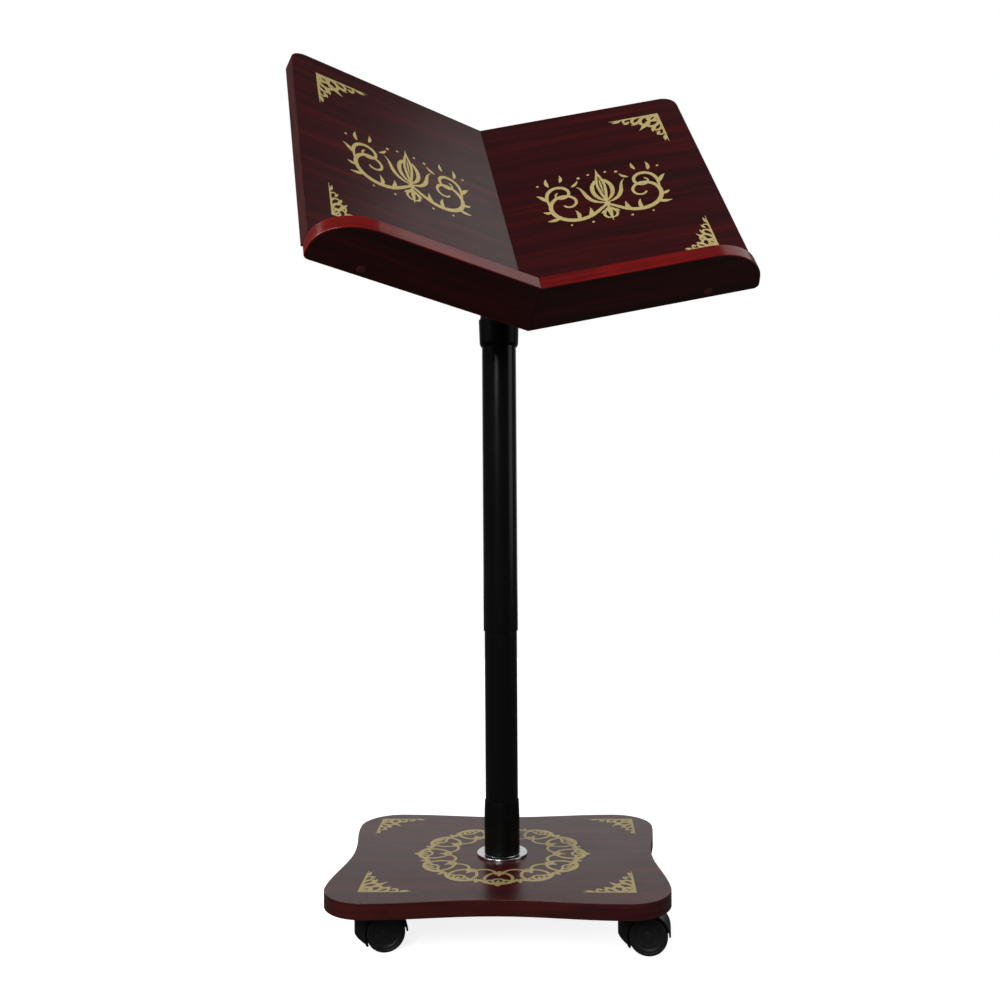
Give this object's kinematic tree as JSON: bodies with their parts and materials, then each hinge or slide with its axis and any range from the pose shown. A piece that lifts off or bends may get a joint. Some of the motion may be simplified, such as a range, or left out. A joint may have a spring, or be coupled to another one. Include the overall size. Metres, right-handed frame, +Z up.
{
  "type": "quran stand",
  "caption": "Floor stand for a large book: a reclined V-shaped wooden desk with a front ledge, turning on a steel pole above a castered base board.",
  "frame": {"origin": "centre of the bounding box on the floor, with the desk turned 18.7 degrees as at rest; the pole stands 23.9 mm to -X and 54.6 mm to +Y of it", "axes": "+Z up, -Y to the front of the base, +X to the right seen from the front"},
  "size_m": [0.5036, 0.4012, 0.9536],
  "materials": {
    "mahogany_board": "satin dark mahogany laminate with printed gold ornament",
    "brown_edging": "red-brown edge band",
    "red_edging": "glossy bright red edge band",
    "black_paint": "gloss black paint",
    "black_plastic": "satin black moulding",
    "wheel_plastic": "matt black wheel",
    "bright_steel": "bright plated steel",
    "zinc": "zinc plated",
    "nylon": "natural nylon",
    "beech": "plain dowel",
    "cap_plastic": "press-on screw cap"
  },
  "bodies": {
    "base": {"back_left_caster_kingpin": "zinc", "back_left_caster_plate": "zinc", "back_right_caster_kingpin": "zinc", "back_right_caster_plate": "zinc", "base_board": "mahogany_board", "base_bolt": "zinc", "base_edge_band": "brown_edging", "base_washer": "zinc", "foot_flange": "bright_steel", "foot_plug": "zinc", "foot_sleeve": "black_plastic", "front_left_caster_kingpin": "zinc", "front_left_caster_plate": "zinc", "front_right_caster_kingpin": "zinc", "front_right_caster_plate": "zinc", "joint_plug": "nylon", "lower_tube": "black_paint", "neck_bush": "nylon", "top_ferrule": "black_plastic", "upper_tube": "black_paint"},
    "desk": {"left_ledge": "mahogany_board", "left_ledge_dowel": "beech", "left_ledge_edge_band": "red_edging", "left_ledge_screw": "zinc", "left_lower_saddle_screw": "zinc", "left_panel": "mahogany_board", "left_panel_edge_band": "brown_edging", "left_screw_cap": "cap_plastic", "left_upper_saddle_screw": "zinc", "neck_collar": "black_paint", "neck_gusset": "black_paint", "neck_tube": "black_paint", "right_ledge": "mahogany_board", "right_ledge_dowel": "beech", "right_ledge_edge_band": "red_edging", "right_ledge_screw": "zinc", "right_lower_saddle_screw": "zinc", "right_panel": "mahogany_board", "right_panel_edge_band": "brown_edging", "right_screw_cap": "cap_plastic", "right_upper_saddle_screw": "zinc", "saddle_plate": "black_paint"},
    "back_left_caster": {"back_left_caster_axle": "zinc", "back_left_caster_hood": "black_plastic"},
    "back_left_inner_wheel": {"back_left_caster_inner_wheel": "wheel_plastic"},
    "back_left_outer_wheel": {"back_left_caster_outer_wheel": "wheel_plastic"},
    "back_right_caster": {"back_right_caster_axle": "zinc", "back_right_caster_hood": "black_plastic"},
    "back_right_inner_wheel": {"back_right_caster_inner_wheel": "wheel_plastic"},
    "back_right_outer_wheel": {"back_right_caster_outer_wheel": "wheel_plastic"},
    "front_left_caster": {"front_left_caster_axle": "zinc", "front_left_caster_hood": "black_plastic"},
    "front_left_inner_wheel": {"front_left_caster_inner_wheel": "wheel_plastic"},
    "front_left_outer_wheel": {"front_left_caster_outer_wheel": "wheel_plastic"},
    "front_right_caster": {"front_right_caster_axle": "zinc", "front_right_caster_hood": "black_plastic"},
    "front_right_inner_wheel": {"front_right_caster_inner_wheel": "wheel_plastic"},
    "front_right_outer_wheel": {"front_right_caster_outer_wheel": "wheel_plastic"}
  },
  "joints": [
    {"name": "desk_turn", "type": "hinge", "parent": "base", "child": "desk", "pos_m": [-0.02392, 0.05461, 0.66], "axis": [0, 0, 1], "continuous": true},
    {"name": "front_left_caster_swivel", "type": "hinge", "parent": "base", "child": "front_left_caster", "pos_m": [-0.15992, -0.04039, 0.045], "axis": [0, 0, 1], "continuous": true},
    {"name": "front_left_inner_wheel_spin", "type": "hinge", "parent": "front_left_caster", "child": "front_left_inner_wheel", "pos_m": [-0.14178, -0.03587, 0.02], "axis": [-0.2419, 0.9703, 0], "continuous": true},
    {"name": "front_left_outer_wheel_spin", "type": "hinge", "parent": "front_left_caster", "child": "front_left_outer_wheel", "pos_m": [-0.14178, -0.03587, 0.02], "axis": [-0.2419, 0.9703, 0], "continuous": true},
    {"name": "front_right_caster_swivel", "type": "hinge", "parent": "base", "child": "front_right_caster", "pos_m": [0.11208, -0.04039, 0.045], "axis": [0, 0, 1], "continuous": true},
    {"name": "front_right_inner_wheel_spin", "type": "hinge", "parent": "front_right_caster", "child": "front_right_inner_wheel", "pos_m": [0.13068, -0.04234, 0.02], "axis": [0.1045, 0.9945, 0], "continuous": true},
    {"name": "front_right_outer_wheel_spin", "type": "hinge", "parent": "front_right_caster", "child": "front_right_outer_wheel", "pos_m": [0.13068, -0.04234, 0.02], "axis": [0.1045, 0.9945, 0], "continuous": true},
    {"name": "back_left_caster_swivel", "type": "hinge", "parent": "base", "child": "back_left_caster", "pos_m": [-0.15992, 0.14961, 0.045], "axis": [0, 0, 1], "continuous": true},
    {"name": "back_left_inner_wheel_spin", "type": "hinge", "parent": "back_left_caster", "child": "back_left_inner_wheel", "pos_m": [-0.14133, 0.15157, 0.02], "axis": [-0.1045, 0.9945, 0], "continuous": true},
    {"name": "back_left_outer_wheel_spin", "type": "hinge", "parent": "back_left_caster", "child": "back_left_outer_wheel", "pos_m": [-0.14133, 0.15157, 0.02], "axis": [-0.1045, 0.9945, 0], "continuous": true},
    {"name": "back_right_caster_swivel", "type": "hinge", "parent": "base", "child": "back_right_caster", "pos_m": [0.11208, 0.14961, 0.045], "axis": [0, 0, 1], "continuous": true},
    {"name": "back_right_inner_wheel_spin", "type": "hinge", "parent": "back_right_caster", "child": "back_right_inner_wheel", "pos_m": [0.13037, 0.14572, 0.02], "axis": [0.2079, 0.9781, 0], "continuous": true},
    {"name": "back_right_outer_wheel_spin", "type": "hinge", "parent": "back_right_caster", "child": "back_right_outer_wheel", "pos_m": [0.13037, 0.14572, 0.02], "axis": [0.2079, 0.9781, 0], "continuous": true}
  ]
}
